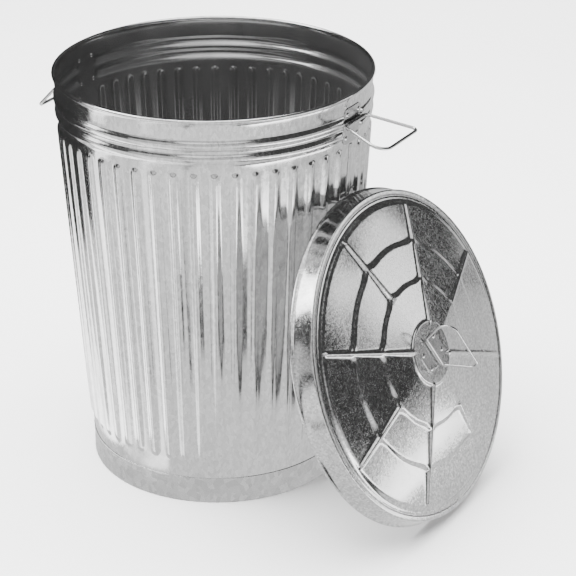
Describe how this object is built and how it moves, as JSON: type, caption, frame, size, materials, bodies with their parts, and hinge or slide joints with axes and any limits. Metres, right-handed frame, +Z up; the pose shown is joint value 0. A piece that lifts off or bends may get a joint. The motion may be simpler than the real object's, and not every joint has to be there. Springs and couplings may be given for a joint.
{
  "type": "galvanised waste can with loose lid",
  "caption": "Tapered round fluted sheet-metal waste can with beaded rolled rim, drop bail handles and a loose stepped, ribbed lid leaning against its side.",
  "frame": {"origin": "centre of the can's base at floor level", "axes": "+Z up along the can's axis, +X through the handle under which the lid leans"},
  "size_m": [0.7892, 0.5436, 0.68],
  "materials": {
    "galvanised_sheet": "bright hot-dip galvanised sheet with a fine spangle",
    "galvanised_hoop": "galvanised strip, duller than the wall",
    "galvanised_lid_sheet": "bright galvanised sheet with an open spangle",
    "zinc_bracket": "zinc plated pressing",
    "zinc_wire": "bright galvanised wire",
    "steel_rivet": "bright round rivet head"
  },
  "bodies": {
    "can": {"body_panel_rear": "galvanised_sheet", "body_panel_front": "galvanised_sheet", "rim_wire": "zinc_wire", "base_pan": "galvanised_sheet", "base_hoop": "galvanised_hoop", "handle_bracket_right": "zinc_bracket", "handle_rivets_right": "steel_rivet", "handle_bracket_left": "zinc_bracket", "handle_rivets_left": "steel_rivet"},
    "bail_right": {"handle_bail_right": "zinc_wire"},
    "bail_left": {"handle_bail_left": "zinc_wire"},
    "lid": {"lid_shell": "galvanised_lid_sheet", "lid_rim_wire": "zinc_wire", "lid_handle_plate": "zinc_bracket", "lid_handle_rivets": "steel_rivet"},
    "lid_handle": {"lid_bail": "zinc_wire"}
  },
  "joints": [
    {"name": "bail_right_hinge", "type": "hinge", "parent": "can", "child": "bail_right", "pos_m": [0.25795, 0, 0.634], "axis": [0, 1, 0], "range_deg": [-98, 77]},
    {"name": "bail_left_hinge", "type": "hinge", "parent": "can", "child": "bail_left", "pos_m": [-0.25795, 0, 0.634], "axis": [0, -1, 0], "range_deg": [-135, 40]},
    {"name": "lid_lift", "type": "slide", "parent": "can", "child": "lid", "axis": [0.9347, -0.0375, 0.3535], "range_m": [0, 0.35]},
    {"name": "lid_bail_hinge", "type": "hinge", "parent": "lid", "child": "lid_handle", "pos_m": [0.41475, -0.01666, 0.2814], "axis": [-0.3417, -0.3693, 0.8642], "range_deg": [-102, 72]}
  ]
}
